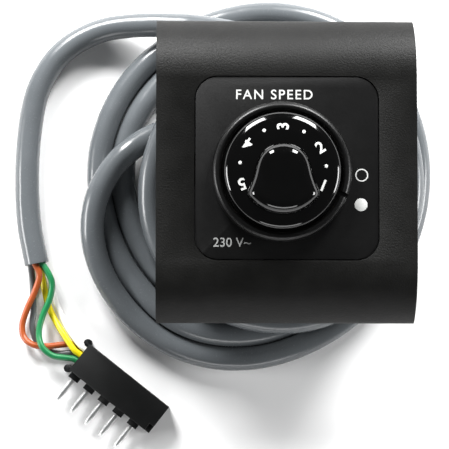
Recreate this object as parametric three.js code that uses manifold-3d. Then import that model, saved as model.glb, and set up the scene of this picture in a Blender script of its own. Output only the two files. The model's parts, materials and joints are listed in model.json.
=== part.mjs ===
// Flush-mounted rotary fan speed control panel, lying face up on its coiled five-core cable.
// Millimetres, +Z towards the user. The origin is on the surface it lies on, under the panel's middle.
import * as THREE from 'three';
import { mergeVertices } from 'three/addons/utils/BufferGeometryUtils.js';
import Module from 'manifold-3d';

const wasm = await Module();
wasm.setup();

// ---------------------------------------------------------------- driving dimensions
const GAP = 0.3; // running gap between neighbouring pieces

// cover frame: an arch across Y, extruded along X, open at its two ends
const FRAME = { width: 67, length: 79, wall: 2, back: 24, front: 36, flatHalf: 23.5, drop: 10 };
const WINDOW = { side: 47.4, corner: 6 };

// fascia plate inside the window
const FASCIA = { side: 46.8, corner: 5.8, top: 35.8, bottom: 33.6, skirt: 1.8 };
const BOSS = { at: 14, radius: 2.5, bore: 1.1 }; // board bosses under the fascia
const PILLAR = { at: 19.4, radius: 2.6, bore: 1.1 }; // corner pillars for the rear fixing screws

// housing behind the wall plane: a round tub with a square flange, and a deeper cable box
const TUB = { radius: 26, wall: 2, floor: 13.3, floorTop: 15.3, flange: 60, flangeTop: 27 };
const WALL_SCREW = { at: 25.5, radius: 1.8 };
const BOX = { x0: -9, x1: 16, y0: -18, y1: 21, wall: 1.6, floor: 2, top: 13, corner: 2.5 };
const BOX_SCREWS = [[12.2, 17.2], [-5.2, -14.2]];

const BOARD = { radius: 23.2, bottom: 20.4, top: 22 };

// dial: selector ring and knob turn about this axis, set off towards the lower left of the fascia
const DIAL = { x: -1.4, y: -1.2 };
const HUB = { bore: 8.2, radius: 11.6, bottom: 30.8, hole: 12 };
const PEG_RADIUS = 14; // the ring's drive peg runs on this circle
const PEG_SWING = 20; // degrees from on to off
const LUG_ANGLES = [30, 150, -60];

// cable
const CABLE = { diameter: 6.5, core: 1.7, innerCore: 1.6, sides: 12, coreSides: 8 };
const EXIT = { x: BOX.x0, y: 13.6, z: 7.6 }; // where the cable leaves the box, heading along -X
const BEND = { radius: 26, start: -26 }; // the first bend after the boot, and the x where it starts
const COIL = { x: -7, y: -2.5, inner: 34.4, outer: 49.5, height: 19.8 };

// five-way plug on the far end, lying flat
const PLUG = { x: -43.4, y: -56.6, turn: -38.3, length: 27.2, width: 8.8, height: 5 };
const PLUG_PIN = { first: -11.3, pitch: 5, radius: 0.75, z: 3 };

// ---------------------------------------------------------------- geometry helpers
const radians = THREE.MathUtils.degToRad;

/** Turns a closed three.js geometry into a solid, dropping the slivers at poles. */
function solid(geometry) {
  const bare = geometry.clone();
  bare.deleteAttribute('normal');
  bare.deleteAttribute('uv');
  const merged = mergeVertices(bare, 1e-4);
  const p = merged.attributes.position.array;
  const kept = [];
  let volume = 0;
  for (let i = 0; i < merged.index.count; i += 3) {
    const [a, b, c] = [0, 1, 2].map((k) => merged.index.getX(i + k));
    if (a === b || b === c || c === a) continue;
    kept.push(a, b, c);
    const [u, v, w] = [a, b, c].map((k) => new THREE.Vector3(p[3 * k], p[3 * k + 1], p[3 * k + 2]));
    volume += u.dot(v.cross(w));
  }
  if (volume < 0) kept.reverse();
  const mesh = new wasm.Mesh({
    numProp: 3,
    vertProperties: Float32Array.from(p),
    triVerts: Uint32Array.from(kept),
  });
  return new wasm.Manifold(mesh);
}

const join = (first, ...rest) => rest.reduce((whole, piece) => whole.add(piece), first);
const cut = (first, ...rest) => rest.reduce((whole, piece) => whole.subtract(piece), first);

/** A box between two corners. */
function block(x0, x1, y0, y1, z0, z1) {
  const box = new THREE.BoxGeometry(x1 - x0, y1 - y0, z1 - z0);
  return solid(box.translate((x0 + x1) / 2, (y0 + y1) / 2, (z0 + z1) / 2));
}

/** An upright cylinder. */
function post(x, y, radius, z0, z1, sides = 14) {
  const cylinder = new THREE.CylinderGeometry(radius, radius, z1 - z0, sides);
  return solid(cylinder.rotateX(Math.PI / 2).translate(x, y, (z0 + z1) / 2));
}

/** A turned solid about Z from [radius, height] pairs. */
function turned(profile, segments = 36) {
  const points = profile.map(([r, z]) => new THREE.Vector2(r, z));
  return solid(new THREE.LatheGeometry(points, segments).rotateX(Math.PI / 2));
}

/** A rectangle with round corners, about its own centre. */
function roundedRectangle(width, height, corner) {
  const [x, y] = [width / 2, height / 2];
  const shape = new THREE.Shape();
  shape.moveTo(-x + corner, -y);
  shape.lineTo(x - corner, -y);
  shape.absarc(x - corner, -y + corner, corner, -Math.PI / 2, 0);
  shape.absarc(x - corner, y - corner, corner, 0, Math.PI / 2);
  shape.absarc(-x + corner, y - corner, corner, Math.PI / 2, Math.PI);
  shape.absarc(-x + corner, -y + corner, corner, Math.PI, 1.5 * Math.PI);
  return shape;
}

/** A flat shape raised between two heights. */
function plate(shape, z0, z1, curveSegments = 5) {
  const options = { depth: z1 - z0, bevelEnabled: false, curveSegments };
  return solid(new THREE.ExtrudeGeometry(shape, options).translate(0, 0, z0));
}

/** A round tube or cord along a smooth curve. */
function cord(points, diameter, sides, steps) {
  const path = new THREE.CatmullRomCurve3(points.map((p) => new THREE.Vector3(...p)));
  const section = new THREE.Shape();
  for (let i = 0; i < sides; i += 1) {
    const angle = (2 * Math.PI * i) / sides;
    section.lineTo((diameter / 2) * Math.cos(angle), (diameter / 2) * Math.sin(angle));
  }
  return solid(new THREE.ExtrudeGeometry(section, { steps, bevelEnabled: false, extrudePath: path }));
}

const along = (manifold, x, y, z = 0) => manifold.translate([x, y, z]);
const swung = (manifold, degrees) => manifold.rotate([0, 0, degrees]);

// ---------------------------------------------------------------- scene graph
const panel = new THREE.Group();
const dial = new THREE.Group();
dial.position.set(DIAL.x, DIAL.y, 0);
const plug = new THREE.Group();
plug.position.set(PLUG.x, PLUG.y, 0);
plug.rotation.z = radians(PLUG.turn);
panel.add(dial, plug);

const FINISH = {
  frame: { color: 0x232321, roughness: 0.55, metalness: 0 },
  fascia: { color: 0x171717, roughness: 0.5, metalness: 0 },
  knob: { color: 0x060606, roughness: 0.12, metalness: 0 },
  ring: { color: 0x101011, roughness: 0.38, metalness: 0 },
  housing: { color: 0x1c1c1d, roughness: 0.6, metalness: 0 },
  rubber: { color: 0x151515, roughness: 0.8, metalness: 0 },
  sheath: { color: 0x6f7375, roughness: 0.42, metalness: 0 },
  board: { color: 0x1f5a34, roughness: 0.5, metalness: 0 },
  steel: { color: 0xb4b6b8, roughness: 0.3, metalness: 1 },
  tin: { color: 0xc9cacb, roughness: 0.28, metalness: 1 },
  spring: { color: 0xc7a35c, roughness: 0.3, metalness: 1 },
  nylon: { color: 0xe6e3d8, roughness: 0.55, metalness: 0 },
  phenolic: { color: 0x6a4326, roughness: 0.6, metalness: 0 },
  carbon: { color: 0x1a1a1c, roughness: 0.7, metalness: 0 },
  capacitor: { color: 0xc9a227, roughness: 0.45, metalness: 0 },
  ceramic: { color: 0x9aa7a0, roughness: 0.5, metalness: 0 },
  plugBlack: { color: 0x141516, roughness: 0.6, metalness: 0 },
  orange: { color: 0xb4511c, roughness: 0.4, metalness: 0 },
  green: { color: 0x1f7a4a, roughness: 0.4, metalness: 0 },
  yellow: { color: 0xe6d31a, roughness: 0.4, metalness: 0 },
  white: { color: 0xe9e9e4, roughness: 0.4, metalness: 0 },
  grey: { color: 0x4d4f50, roughness: 0.4, metalness: 0 },
};

/** Adds one named piece to a group. */
function add(group, name, manifold, finish) {
  const raw = manifold.getMesh();
  const geometry = new THREE.BufferGeometry();
  const positions = new Float32Array(raw.numVert * 3);
  for (let i = 0; i < raw.numVert; i += 1) {
    for (let k = 0; k < 3; k += 1) positions[3 * i + k] = raw.vertProperties[raw.numProp * i + k];
  }
  geometry.setAttribute('position', new THREE.BufferAttribute(positions, 3));
  geometry.setIndex(new THREE.BufferAttribute(Uint32Array.from(raw.triVerts), 1));
  geometry.computeVertexNormals();
  const piece = new THREE.Mesh(geometry, new THREE.MeshStandardMaterial(FINISH[finish]));
  piece.name = name;
  group.add(piece);
}

const SIDES = [-1, 1];
const CORNERS = SIDES.flatMap((sx) => SIDES.map((sy) => [sx, sy]));

// ---------------------------------------------------------------- cover frame
/** The arch: flat front, two round shoulders that fall to the wall, constant wall thickness. */
function archShape() {
  const half = FRAME.length / 2;
  const reach = half - FRAME.flatHalf;
  const radius = (reach ** 2 + FRAME.drop ** 2) / (2 * FRAME.drop);
  const centre = FRAME.front - radius;
  const end = Math.atan2(FRAME.front - FRAME.drop - centre, reach);
  const inner = radius - FRAME.wall;
  const shape = new THREE.Shape();
  shape.moveTo(half, FRAME.back);
  shape.absarc(FRAME.flatHalf, centre, radius, end, Math.PI / 2);
  shape.absarc(-FRAME.flatHalf, centre, radius, Math.PI / 2, Math.PI - end);
  shape.lineTo(-half, FRAME.back);
  shape.lineTo(-FRAME.flatHalf - inner * Math.cos(end), FRAME.back);
  shape.absarc(-FRAME.flatHalf, centre, inner, Math.PI - end, Math.PI / 2, true);
  shape.absarc(FRAME.flatHalf, centre, inner, Math.PI / 2, end, true);
  shape.lineTo(FRAME.flatHalf + inner * Math.cos(end), FRAME.back);
  return shape;
}

function coverFrame() {
  const options = { depth: FRAME.width, bevelEnabled: false, curveSegments: 10 };
  const arch = new THREE.ExtrudeGeometry(archShape(), options);
  const toYZX = new THREE.Matrix4().makeBasis(
    new THREE.Vector3(0, 1, 0),
    new THREE.Vector3(0, 0, 1),
    new THREE.Vector3(1, 0, 0),
  );
  arch.applyMatrix4(toYZX).translate(-FRAME.width / 2, 0, 0);
  const window = plate(roundedRectangle(WINDOW.side, WINDOW.side, WINDOW.corner), 30, 40);
  const hooks = CORNERS.flatMap(([sx, sy]) => {
    const [near, far] = [30.4, 32].map((y) => y * sy).sort((a, b) => a - b);
    const [tip, root] = [29.4, 31].map((y) => y * sy).sort((a, b) => a - b);
    const x = 18 * sx;
    return [block(x - 4, x + 4, near, far, 24.5, 33), block(x - 4, x + 4, tip, root, 25.3, 26)];
  });
  return join(cut(solid(arch), window), ...hooks);
}
add(panel, 'cover_frame', coverFrame(), 'frame');

// ---------------------------------------------------------------- fascia
function fascia() {
  const inner = FASCIA.side - 2 * FASCIA.skirt;
  const outline = roundedRectangle(FASCIA.side, FASCIA.side, FASCIA.corner);
  const hollow = roundedRectangle(inner, inner, FASCIA.corner - FASCIA.skirt);
  const shell = cut(
    plate(outline, TUB.flangeTop + GAP, FASCIA.top),
    plate(hollow, TUB.flangeTop, FASCIA.bottom),
  );
  const bosses = CORNERS.flatMap(([sx, sy]) => [
    post(BOSS.at * sx, BOSS.at * sy, BOSS.radius, BOARD.top + GAP, FASCIA.bottom + 0.2),
    post(PILLAR.at * sx, PILLAR.at * sy, PILLAR.radius, TUB.flangeTop + GAP, FASCIA.bottom + 0.2),
  ]);
  const bores = CORNERS.flatMap(([sx, sy]) => [
    post(BOSS.at * sx, BOSS.at * sy, BOSS.bore, BOARD.top, 29, 8),
    post(PILLAR.at * sx, PILLAR.at * sy, PILLAR.bore, TUB.flangeTop, 33, 8),
  ]);
  const springPegs = SIDES.map((sx) => post(DIAL.x + 6.9 * sx, DIAL.y + 13.5, 0.8, 30.9, 33.8, 12));
  const dialHole = post(DIAL.x, DIAL.y, HUB.hole, 33, 37, 40);
  return cut(join(shell, ...bosses, ...springPegs), dialHole, ...bores);
}
add(panel, 'fascia', fascia(), 'fascia');

// ---------------------------------------------------------------- housing tub and cable box
function housingTub() {
  const { radius, wall, floor, floorTop, flange, flangeTop } = TUB;
  const barrel = turned([
    [0, floor], [radius - 1, floor], [radius, floor + 1], [radius, FRAME.back + 1], [0, FRAME.back + 1],
  ]);
  const lip = plate(roundedRectangle(flange, flange, 4), FRAME.back, flangeTop);
  const hollow = post(0, 0, radius - wall, floorTop, flangeTop + 1, 40);
  const opening = block(-6.5, 13.5, -10.5, 11, floor - 1, floorTop + 1);
  const screwPosts = BOX_SCREWS.map(([x, y]) => post(x, y, 3, floorTop - 0.5, 17.5));
  const screwBores = BOX_SCREWS.map(([x, y]) => post(x, y, 1.6, floor - 1, 18, 12));
  const corners = CORNERS.flatMap(([sx, sy]) => [
    post(WALL_SCREW.at * sx, WALL_SCREW.at * sy, WALL_SCREW.radius, 23, 28, 12),
    post(PILLAR.at * sx, PILLAR.at * sy, 1.4, 23, 28, 8),
    post(PILLAR.at * sx, PILLAR.at * sy, 2.5, 23.9, 25.7, 12),
  ]);
  const grooves = CORNERS.map(([sx, sy]) => {
    const [y0, y1] = [29, 31].map((y) => y * sy).sort((a, b) => a - b);
    return block(18 * sx - 4.4, 18 * sx + 4.4, y0, y1, 25, 26.3);
  });
  const body = join(cut(join(barrel, lip), hollow), ...screwPosts);
  return cut(body, opening, ...screwBores, ...corners, ...grooves);
}
add(panel, 'housing_tub', housingTub(), 'housing');

/** A short cylinder along X. */
function rodX(x0, x1, y, z, radius, sides = 24) {
  const cylinder = new THREE.CylinderGeometry(radius, radius, x1 - x0, sides);
  return solid(cylinder.rotateZ(Math.PI / 2).translate((x0 + x1) / 2, y, z));
}

const CLAMP = { x0: -5.4, x1: -1.4, screwX: -3.4, screwY: 8 };

function rearCap() {
  const { x0, x1, y0, y1, wall, floor, top, corner } = BOX;
  const [cx, cy] = [(x0 + x1) / 2, (y0 + y1) / 2];
  const outline = roundedRectangle(x1 - x0, y1 - y0, corner);
  const hollow = roundedRectangle(x1 - x0 - 2 * wall, y1 - y0 - 2 * wall, corner - wall);
  const shell = cut(along(plate(outline, 0, top), cx, cy), along(plate(hollow, floor, top + 1), cx, cy));
  const posts = BOX_SCREWS.map(([x, y]) => post(x, y, 3.3, floor - 0.5, top));
  const bores = BOX_SCREWS.flatMap(([x, y]) => [post(x, y, 1.6, -1, top + 1, 12), post(x, y, 2.8, -1, 4, 16)]);
  const clampPost = cut(
    post(CLAMP.screwX, CLAMP.screwY, 2, floor - 0.5, 7.8),
    post(CLAMP.screwX, CLAMP.screwY, 1.1, 3, 8, 12),
  );
  const cradle = cut(
    block(CLAMP.x0 + 0.6, CLAMP.x1 - 0.6, 10.4, 16.8, floor - 0.5, 5.6),
    rodX(-8, 0, EXIT.y, EXIT.z, CABLE.diameter / 2 + GAP),
  );
  const cableHole = rodX(x0 - 1, x0 + wall + 1, EXIT.y, EXIT.z, 5);
  return cut(join(shell, ...posts, clampPost, cradle), cableHole, ...bores);
}
add(panel, 'rear_cap', rearCap(), 'housing');

/** A pan-head screw pointing up, with a cross recess in its head. */
function screwUp(x, y, headRadius, shankRadius, headBottom, headTop, tip) {
  const body = turned([
    [0, headBottom], [headRadius - 0.4, headBottom], [headRadius, headBottom + 0.5], [headRadius, headTop],
    [shankRadius, headTop], [shankRadius, tip - 0.8], [0, tip],
  ], 12);
  const arm = headRadius * 0.55;
  const recess = [
    block(-arm, arm, -0.3, 0.3, headBottom - 1, headBottom + 0.6),
    block(-0.3, 0.3, -arm, arm, headBottom - 1, headBottom + 0.6),
  ];
  return along(cut(body, ...recess), x, y);
}
BOX_SCREWS.forEach(([x, y], i) => {
  add(panel, `cap_screw_${i + 1}`, screwUp(x, y, 2.5, 1.3, 2, 3.7, 17.2), 'steel');
});
CORNERS.forEach(([sx, sy], i) => {
  const board = screwUp(BOSS.at * sx, BOSS.at * sy, 2, 0.8, 18.6, 20.1, 28);
  const rear = screwUp(PILLAR.at * sx, PILLAR.at * sy, 2.2, 0.8, 24.2, 25.4, 32);
  add(panel, `board_screw_${i + 1}`, board, 'steel');
  add(panel, `fascia_screw_${i + 1}`, rear, 'steel');
});

// ---------------------------------------------------------------- circuit board and what it carries
const TERMINALS = [-5, 0, 5];

function circuitBoard() {
  const disc = post(0, 0, BOARD.radius, BOARD.bottom, BOARD.top, 36);
  const screwHoles = CORNERS.map(([sx, sy]) => post(BOSS.at * sx, BOSS.at * sy, 1.2, 20, 23, 12));
  const pinHoles = TERMINALS.map((x) => post(DIAL.x + x, DIAL.y - 9.2, 1, 20, 23, 12));
  return cut(disc, ...screwHoles, ...pinHoles);
}
add(panel, 'circuit_board', circuitBoard(), 'board');

const SOCKET = { x: 6, y: 2, halfX: 6.8, halfY: 2.7, bottom: 13.9 };
const CORE_PITCH = 2.2;

function cableSocket() {
  const { x, y, halfX, halfY, bottom } = SOCKET;
  const body = block(x - halfX, x + halfX, y - halfY, y + halfY, bottom, BOARD.bottom - GAP);
  return cut(body, block(x - 6.2, x + 6.2, y - 2.4, y + 2.4, bottom - 1, 18.7));
}
add(panel, 'cable_socket', cableSocket(), 'nylon');

function innerPlug() {
  const body = block(SOCKET.x - 5.9, SOCKET.x + 5.9, SOCKET.y - 2.1, SOCKET.y + 2.1, 9, 18.4);
  const windows = [-2, -1, 0, 1, 2].map((i) => {
    const x = SOCKET.x + i * CORE_PITCH;
    return block(x - 0.6, x + 0.6, SOCKET.y - 3, SOCKET.y - 1.5, 10.4, 12.6);
  });
  return cut(body, ...windows);
}
add(panel, 'cable_inner_plug', innerPlug(), 'nylon');

const capacitorBody = new THREE.ExtrudeGeometry(roundedRectangle(12.6, 4.8, 0.8), {
  depth: 7.8,
  bevelThickness: 0.6,
  bevelSize: 0.4,
  bevelOffset: -0.4,
  bevelSegments: 1,
  curveSegments: 3,
}).translate(6.2, -7.2, 11.7);
add(panel, 'suppression_capacitor', solid(capacitorBody), 'capacitor');

function triac() {
  const body = block(-17.5, -8.5, 0, 8.5, 16, 19.4);
  const tab = block(-17.5, -8.5, 8, 12, 18.2, 19.4);
  const legs = [-15.6, -13, -10.4].flatMap((x) => [
    block(x - 0.4, x + 0.4, -2.2, 0.5, 17.2, 17.9),
    block(x - 0.4, x + 0.4, -2.2, -1.5, 17.2, BOARD.bottom - GAP),
  ]);
  return cut(join(body, tab, ...legs), post(-13, 10.4, 1.1, 17, 21, 12));
}
add(panel, 'triac', triac(), 'carbon');

function resistor() {
  const [x, z, lead] = [18, 17.8, 0.35];
  const rod = (radius, y0, y1, sides) => {
    const cylinder = new THREE.CylinderGeometry(radius, radius, y1 - y0, sides);
    return solid(cylinder.translate(x, (y0 + y1) / 2, z));
  };
  const leads = [-7.4, 7.4].map((y) => block(x - lead, x + lead, y - lead, y + lead, z - lead, 20.1));
  return join(rod(1.9, -5.2, 5.2, 16), rod(2.2, -5.4, -3.6, 16), rod(2.2, 3.6, 5.4, 16), rod(lead, -7.4, 7.4, 8), ...leads);
}
add(panel, 'dropper_resistor', resistor(), 'ceramic');

// ---------------------------------------------------------------- potentiometer
const POT = { radius: 8.5, wall: 0.8, bottom: 22.3, top: 28.8, shaft: 3, tip: 44.5 };

const potHousing = turned([
  [POT.radius, POT.bottom], [POT.radius, POT.top - 0.5], [POT.radius - 0.5, POT.top], [3.9, POT.top],
  [3.9, 33.4], [POT.shaft + GAP, 33.4], [POT.shaft + GAP, 27.8], [POT.radius - POT.wall, 27.8],
  [POT.radius - POT.wall, POT.bottom], [POT.radius, POT.bottom],
]);
add(dial, 'pot_housing', potHousing, 'steel');
add(dial, 'pot_wafer', turned([[0, 22.5], [7.4, 22.5], [7.4, 23.5], [0, 23.5]], 32), 'phenolic');

/** A flat horseshoe: the resistive track, open towards the terminals. */
function horseshoe(outer, inner, openDegrees) {
  const start = radians(-90 + openDegrees / 2);
  const end = radians(270 - openDegrees / 2);
  const shape = new THREE.Shape();
  shape.absarc(0, 0, outer, start, end);
  shape.absarc(0, 0, inner, end, start, true);
  return shape;
}
add(dial, 'pot_track', plate(horseshoe(6.8, 4.4, 60), 23.8, 24.2, 24), 'carbon');

function potShaft() {
  const body = turned([
    [0, 24.6], [1.4, 24.6], [1.4, 25.7], [4.6, 25.7], [4.6, 27.3], [POT.shaft, 27.3],
    [POT.shaft, POT.tip - 0.6], [POT.shaft - 0.6, POT.tip], [0, POT.tip],
  ], 24);
  return cut(body, block(-4, 4, 1.9, 4, 36.5, 46));
}
add(dial, 'pot_shaft', potShaft(), 'nylon');

function potWiper() {
  const collar = post(0, 0, 2.9, 24.5, 25.3, 20);
  const arm = block(-1.1, 1.1, 1.8, 6.5, 24.5, 25.1);
  return cut(join(collar, arm), post(0, 0, 1.4 + GAP, 24, 26, 20));
}
add(dial, 'pot_wiper', potWiper(), 'spring');

TERMINALS.forEach((x, i) => {
  const tab = join(block(x - 0.6, x + 0.6, -9.6, -8.8, 19.2, 24.2), block(x - 1.1, x + 1.1, -9.6, -8.8, 22.4, 24.2));
  add(dial, `pot_terminal_${i + 1}`, tab, 'tin');
});

// ---------------------------------------------------------------- on/off slide switch
function switchBody() {
  const body = block(-6.5, 6.5, -17, -11, 22.3, 26.3);
  const slot = block(-4.8, 4.8, -15.4, -13, 24.3, 27);
  return cut(body, slot);
}
add(dial, 'switch_body', switchBody(), 'carbon');

function switchSlider() {
  const base = block(-3.4, 3.4, -16, -12.4, 26.6, 27.6);
  const stem = block(-1.5, 1.5, -14.9, -13.5, 24.8, 26.8);
  const horns = SIDES.map((sx) => block(2 * sx - 0.6, 2 * sx + 0.6, -16, -12.4, 27.4, 30.3));
  const restOffset = -PEG_RADIUS * Math.sin(radians(PEG_SWING / 2));
  return along(join(base, stem, ...horns), restOffset, 0);
}
add(dial, 'switch_slider', switchSlider(), 'nylon');

// ---------------------------------------------------------------- selector ring
function selectorRing() {
  const body = turned([
    [HUB.bore, HUB.bottom], [HUB.radius, HUB.bottom], [HUB.radius, 36.1], [17.9, 36.1], [17.9, 38.9],
    [17.6, 40], [16.9, 40.8], [16.2, 41], [15.5, 40.8], [15.2, 40.2], [15.2, 38], [HUB.bore, 38],
    [HUB.bore, HUB.bottom],
  ], 48);
  const notch = swung(block(14.5, 19, -0.5, 0.5, 38.6, 42), -21);
  const lugs = LUG_ANGLES.map((a) => swung(block(11, 12.9, -1.3, 1.3, 31, 33.2), a));
  const arm = join(block(-1.6, 1.6, -15, -11, HUB.bottom, 32.2), post(0, -PEG_RADIUS, 1, 27.9, 31.2, 16));
  return join(cut(body, notch), ...lugs, swung(arm, -PEG_SWING / 2));
}
add(dial, 'selector_ring', selectorRing(), 'ring');

/** A flat steel strip held round two pegs, bearing on the ring's hub. */
function detentSpring() {
  const [x, t, low, high] = [8.3, 0.4, 11.95, 14.4];
  const shape = new THREE.Shape();
  shape.moveTo(-x, high);
  shape.lineTo(-x, low);
  shape.lineTo(x, low);
  shape.lineTo(x, high);
  shape.lineTo(x - t, high);
  shape.lineTo(x - t, low + t);
  shape.lineTo(-x + t, low + t);
  shape.lineTo(-x + t, high);
  return plate(shape, 31, 33);
}
add(dial, 'ring_detent_spring', detentSpring(), 'spring');

// ---------------------------------------------------------------- speed knob
const KNOB = { rim: 14.9, rimZ: 41.4, hub: 6.4, hubZ: 38.8, gripTop: 50 };
const GRIP = { flare: 9.4, flareY: -4.6, flank: 7.9, nose: 7.9 };

/** Plan of the grip: a narrow rounded nose that points at the dial, flaring to a wide round heel. */
function gripShape(inset) {
  const [flare, flank, nose] = [GRIP.flare, GRIP.flank, GRIP.nose].map((size) => size - inset);
  const { flareY } = GRIP;
  const shape = new THREE.Shape();
  shape.moveTo(flare, flareY);
  shape.bezierCurveTo(flare - 0.9, -2.4, flank + 0.6, -2, flank, 0.8);
  shape.bezierCurveTo(flank - 0.6, 4.4, 3.8 - inset / 2, nose, 0, nose);
  shape.bezierCurveTo(-3.8 + inset / 2, nose, 0.6 - flank, 4.4, -flank, 0.8);
  shape.bezierCurveTo(-flank - 0.6, -2, 0.9 - flare, -2.4, -flare, flareY);
  const heel = Math.hypot(flare, flareY);
  const side = Math.atan2(flareY, -flare);
  shape.absarc(0, 0, heel, side, -Math.PI - side);
  return shape;
}

function speedKnob() {
  const skirt = turned([
    [0, 44.4], [9.5, 44.4], [12.6, 43.5], [14.5, 42.5], [KNOB.rim, 42], [KNOB.rim, KNOB.rimZ],
    [13.6, KNOB.rimZ], [13.2, 41.9], [9, 43], [KNOB.hub, 43], [KNOB.hub, KNOB.hubZ], [0, KNOB.hubZ],
  ], 48);
  const grip = join(plate(gripShape(0), 43.6, 48.6, 7), plate(gripShape(1.1), 48.4, KNOB.gripTop, 7));
  const bore = cut(post(0, 0, POT.shaft + GAP, 38, 44.9, 24), block(-4, 4, 2.2, 4, 36, 46));
  return cut(join(skirt, grip), bore);
}
add(dial, 'speed_knob', speedKnob(), 'knob');

/** Open spring clip round the knob's hub. */
add(dial, 'knob_spring_clip', plate(horseshoe(7.4, 6.7, 40), 39.4, 40.4, 20), 'spring');

// ---------------------------------------------------------------- cable exit: boot, clamp, inner cores
function cableBoot() {
  const bore = CABLE.diameter / 2 + GAP;
  const profile = [
    [bore, -3.2], [5.3, -3.2], [5.3, -1.9], [4.7, -1.9], [4.7, GAP], [5.3, GAP], [5.3, 2], [5, 3],
    [4.8, 8], [4.4, 16.3], [3.95, 16.3], [bore, 12], [bore, -3.2],
  ];
  return turned(profile, 24).rotate([0, -90, 0]).translate([EXIT.x, EXIT.y, EXIT.z]);
}
add(panel, 'cable_boot', cableBoot(), 'rubber');

function cableClamp() {
  const bar = block(CLAMP.x0, CLAMP.x1, 5.9, 18.6, 8.2, 11.4);
  const groove = rodX(CLAMP.x0 - 1, CLAMP.x1 + 1, EXIT.y, EXIT.z, CABLE.diameter / 2 + GAP);
  return cut(bar, groove, post(CLAMP.screwX, CLAMP.screwY, 1.3, 8, 12, 12));
}
add(panel, 'cable_clamp', cableClamp(), 'nylon');

/** The clamp's screw points down, so it is an upward screw turned over. */
const clampScrew = screwUp(0, 0, 1.9, 0.8, 0, 1.4, 9).rotate([180, 0, 0]);
add(panel, 'clamp_screw', along(clampScrew, CLAMP.screwX, CLAMP.screwY, 13.1), 'steel');

const SHEATH_INNER_END = -0.6;
const CORE_RING = 1.6; // the five cores lie on this radius inside the sheath
const CORE_COLOURS = ['white', 'grey', 'yellow', 'orange', 'green'];

/** One core inside the box, from the stripped end of the sheath up into the inner plug. */
function innerCore(i) {
  const angle = radians([-144, 144, -72, 72, 0][i]);
  const [dy, dz] = [CORE_RING * Math.cos(angle), CORE_RING * Math.sin(angle)];
  const x = SOCKET.x + (i - 2) * CORE_PITCH;
  return cord([
    [SHEATH_INNER_END + GAP, EXIT.y + dy, EXIT.z + dz],
    [0.9, EXIT.y + dy, EXIT.z + dz],
    [x * 0.62 + 0.6, 12.4 + 1.5 * dy, 6.3 + dz],
    [x, 8.6, 4.6],
    [x, 4.6, 4],
    [x, 2.3, 5.8],
    [x, SOCKET.y, 8.7],
  ], CABLE.innerCore, CABLE.coreSides, 10);
}
CORE_COLOURS.forEach((colour, i) => add(panel, `inner_core_${colour}`, innerCore(i), colour));

// ---------------------------------------------------------------- cable
/** A point on the first bend, by the degrees turned from the straight run and its rise. */
function bendPoint(degrees, rise) {
  const a = radians(90 + degrees);
  const { radius, start } = BEND;
  return [start + radius * Math.cos(a), EXIT.y - radius + radius * Math.sin(a), EXIT.z + rise];
}
const LEAD_ROUTE = [
  [SHEATH_INNER_END, EXIT.y, EXIT.z],
  [-5, EXIT.y, EXIT.z],
  [-12, EXIT.y, EXIT.z],
  [-19, EXIT.y, EXIT.z],
  [-25.4, EXIT.y, EXIT.z],
  bendPoint(8, 0.4),
  bendPoint(17, 1.4),
];
add(panel, 'cable_lead', cord(LEAD_ROUTE, CABLE.diameter, CABLE.sides, 12), 'sheath');

const coilRing = turned([
  [COIL.inner + 2, 0], [COIL.outer - 2.5, 0], [COIL.outer, 2.5], [COIL.outer, COIL.height - 4],
  [COIL.outer - 4, COIL.height], [COIL.inner + 3, COIL.height], [COIL.inner, COIL.height - 3],
  [COIL.inner, 2], [COIL.inner + 2, 0],
], 48);
add(panel, 'cable_coil', along(coilRing, COIL.x, COIL.y), 'sheath');

const LIE = 3.4; // height of the cable's middle where it lies on the surface
const TAIL_ROUTE = [
  [-37, 41.4], [-42, 41.3], [-46.8, 40.8], [-51.4, 39.4], [-56.3, 36.8], [-59.7, 34], [-62.5, 30.6],
  [-65.5, 24.9], [-67.1, 19], [-68, 12.5], [-68.5, 6], [-68.6, -0.5], [-68.4, -7], [-67.6, -14.5],
  [-66, -22.2],
].map(([x, y]) => [x, y, LIE]);
add(panel, 'cable_tail', cord(TAIL_ROUTE, CABLE.diameter, CABLE.sides, 16), 'sheath');

// ---------------------------------------------------------------- plug
function plugHousing() {
  const { length, width, height } = PLUG;
  const half = length / 2;
  const body = block(-half, half, -width / 2, width / 2, 0, height);
  const ears = SIDES.map((sy) => post(-half - 0.6, sy * 4.3, 1.1, 0, height, 16));
  const channel = block(-half - 1, half - 1.2, -2.4, 3.6, 1.2, height + 1);
  const mouth = block(-half - 3, -half + 0.2, -2.4, 3.6, 1.2, height + 1);
  const [collars, bores] = [[], []];
  for (let i = 0; i < 5; i += 1) {
    const x = PLUG_PIN.first + PLUG_PIN.pitch * i;
    collars.push(block(x - 1.5, x + 1.5, -5.9, -4.2, 1.4, 4.6));
    const bore = new THREE.CylinderGeometry(1.05, 1.05, 5, 16).translate(x, -4.5, PLUG_PIN.z);
    bores.push(solid(bore));
  }
  return cut(join(body, ...ears, ...collars), channel, mouth, ...bores);
}
add(plug, 'plug_housing', plugHousing(), 'plugBlack');

function plugCover() {
  const half = PLUG.length / 2;
  const lid = block(-half, half, -PLUG.width / 2, PLUG.width / 2, PLUG.height + GAP, 6.3);
  return cut(lid, block(half - 1.4, half + 1, -PLUG.width, -2.2, 5, 7));
}
add(plug, 'plug_cover', plugCover(), 'plugBlack');

for (let i = 0; i < 5; i += 1) {
  const r = PLUG_PIN.radius;
  const pin = turned([[0, 0], [r, 0], [r, 7.2], [r * 0.72, 9.4], [r * 0.3, 10.5], [0, 10.5]], 12);
  const x = PLUG_PIN.first + PLUG_PIN.pitch * i;
  add(plug, `contact_pin_${i + 1}`, pin.rotate([90, 0, 0]).translate([x, -2.7, PLUG_PIN.z]), 'tin');
}

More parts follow.
